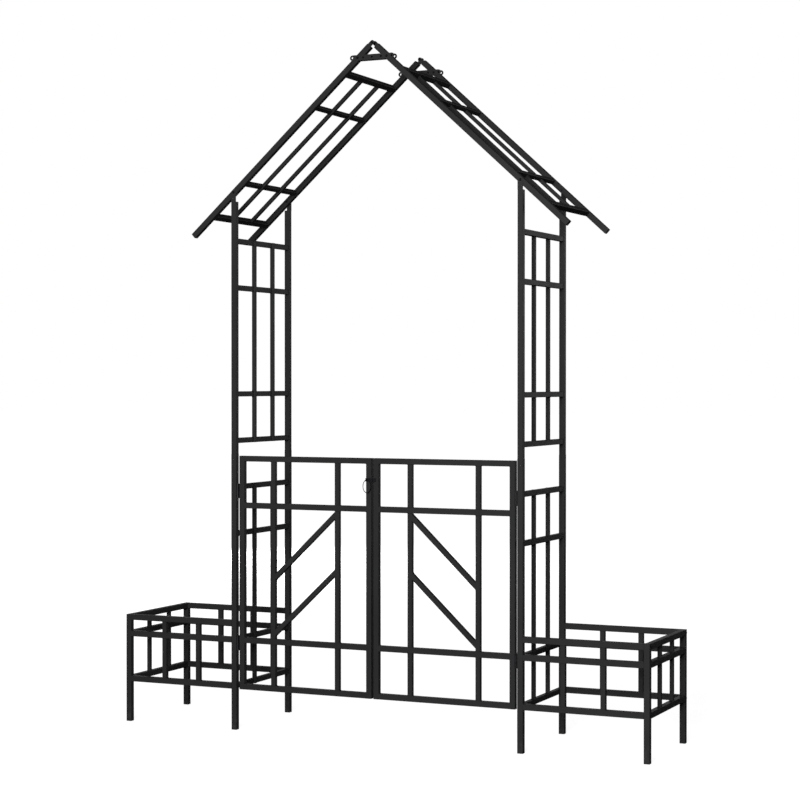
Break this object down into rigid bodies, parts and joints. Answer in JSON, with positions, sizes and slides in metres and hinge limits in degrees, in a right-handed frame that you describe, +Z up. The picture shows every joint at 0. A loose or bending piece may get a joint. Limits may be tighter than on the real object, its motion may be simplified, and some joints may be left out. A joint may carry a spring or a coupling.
{
  "type": "garden arch with gate",
  "caption": "Garden arch of square steel tube with a pitched trellis roof, open planter frames on both sides and a pair of swinging gate leaves with a ring latch.",
  "frame": {"origin": "centre of the arch's bounding box on the ground", "axes": "+X across the passage to the right seen from the front, +Y through the passage to the back, +Z up"},
  "size_m": [1.9686, 0.4282, 2.3832],
  "materials": {
    "powder_coat": "satin black powder coat on steel tube",
    "black_fittings": "black zinc plated steel fittings"
  },
  "bodies": {
    "arch": {"post_lower_front_left": "powder_coat", "post_lower_front_right": "powder_coat", "post_lower_rear_left": "powder_coat", "post_lower_rear_right": "powder_coat", "post_upper_front_left": "powder_coat", "post_upper_front_right": "powder_coat", "post_upper_rear_left": "powder_coat", "post_upper_rear_right": "powder_coat", "side_panel_lower_left": "powder_coat", "side_panel_lower_right": "powder_coat", "side_panel_upper_left": "powder_coat", "side_panel_upper_right": "powder_coat", "rafter_front_left": "powder_coat", "rafter_front_right": "powder_coat", "rafter_rear_left": "powder_coat", "rafter_rear_right": "powder_coat", "roof_lattice_left": "powder_coat", "roof_lattice_right": "powder_coat", "gable_strap_front": "powder_coat", "gable_strap_rear": "powder_coat", "planter_end_left": "powder_coat", "planter_end_right": "powder_coat", "planter_panel_front_left": "powder_coat", "planter_panel_front_right": "powder_coat", "planter_panel_rear_left": "powder_coat", "planter_panel_rear_right": "powder_coat", "ridge_bolt_front": "black_fittings", "ridge_bolt_rear": "black_fittings", "strap_bolt_front_left": "black_fittings", "strap_bolt_front_right": "black_fittings", "strap_bolt_rear_left": "black_fittings", "strap_bolt_rear_right": "black_fittings", "post_bolt_front_left": "black_fittings", "post_bolt_front_right": "black_fittings", "post_bolt_rear_left": "black_fittings", "post_bolt_rear_right": "black_fittings", "planter_bolt_front_left_bottom": "black_fittings", "planter_bolt_front_left_top": "black_fittings", "planter_bolt_front_right_bottom": "black_fittings", "planter_bolt_front_right_top": "black_fittings", "planter_bolt_rear_left_bottom": "black_fittings", "planter_bolt_rear_left_top": "black_fittings", "planter_bolt_rear_right_bottom": "black_fittings", "planter_bolt_rear_right_top": "black_fittings", "hinge_post_lower_left": "black_fittings", "hinge_post_lower_right": "black_fittings", "hinge_post_upper_left": "black_fittings", "hinge_post_upper_right": "black_fittings"},
    "left_leaf": {"gate_leaf_left": "powder_coat", "hinge_gate_lower_left": "black_fittings", "hinge_gate_upper_left": "black_fittings", "latch_housing": "black_fittings"},
    "right_leaf": {"gate_leaf_right": "powder_coat", "hinge_gate_lower_right": "black_fittings", "hinge_gate_upper_right": "black_fittings", "latch_keeper": "black_fittings"},
    "latch_slider": {"latch_bolt": "black_fittings"},
    "latch_pull": {"latch_ring": "black_fittings"}
  },
  "joints": [
    {"name": "left_gate_swing", "type": "hinge", "parent": "arch", "child": "left_leaf", "pos_m": [-0.52325, -0.207, 0.5], "axis": [0, 0, -1], "range_deg": [0, 120]},
    {"name": "right_gate_swing", "type": "hinge", "parent": "arch", "child": "right_leaf", "pos_m": [0.52325, -0.207, 0.5], "axis": [0, 0, 1], "range_deg": [0, 120]},
    {"name": "latch_slide", "type": "slide", "parent": "left_leaf", "child": "latch_slider", "axis": [1, 0, 0], "range_m": [0, 0.012]},
    {"name": "ring_swing", "type": "hinge", "parent": "latch_slider", "child": "latch_pull", "pos_m": [-0.019, -0.2115, 0.88992], "axis": [-1, 0, 0], "range_deg": [0, 100]}
  ]
}
